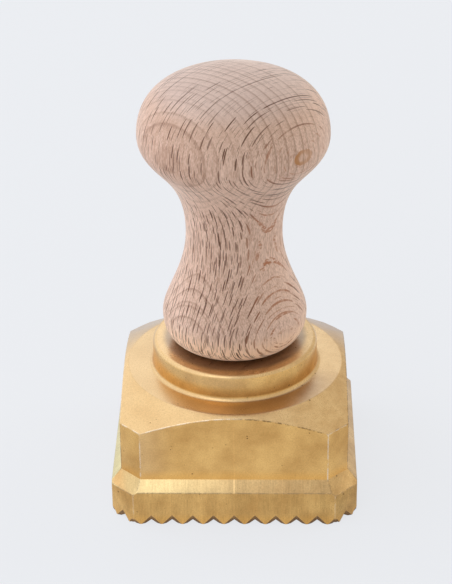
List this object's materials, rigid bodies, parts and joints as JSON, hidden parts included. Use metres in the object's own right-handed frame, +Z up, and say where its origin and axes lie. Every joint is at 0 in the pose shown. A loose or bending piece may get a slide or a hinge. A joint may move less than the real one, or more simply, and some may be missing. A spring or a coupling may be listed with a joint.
{
  "type": "ravioli stamp",
  "caption": "Square ravioli stamp: brass die with a zigzag cutting edge, sealing rim and filling pocket, on a turned wooden handle that unscrews from a stud.",
  "frame": {"origin": "on the stamp's axis, level with the tips of the cutting teeth, where it stands on the board", "axes": "+Z up along the handle's axis; -Y is the flat side that faces the viewer, +X is to the viewer's right"},
  "size_m": [0.06, 0.06, 0.106],
  "materials": {
    "die_brass": "machined satin brass, lightly tarnished, with worn bright edges",
    "stud_steel": "rolled thread, bare steel",
    "insert_brass": "turned brass",
    "beech": "raw turned beech, sanded, no varnish"
  },
  "bodies": {
    "die": {"die_body": "die_brass", "handle_stud": "stud_steel"},
    "insert": {"handle_insert": "insert_brass"},
    "handle": {"handle": "beech"}
  },
  "joints": [
    {"name": "handle_rise", "type": "slide", "parent": "die", "child": "insert", "axis": [0, 0, 1], "range_m": [0, 0.0128]},
    {"name": "handle_turn", "type": "hinge", "parent": "insert", "child": "handle", "pos_m": [0, 0, 0.0361], "axis": [0, 0, 1], "range_deg": [0, 3660]}
  ],
  "couplings": [
    {"joint": "handle_rise", "follows": "handle_turn", "m_per_rad": 0.00019894}
  ]
}
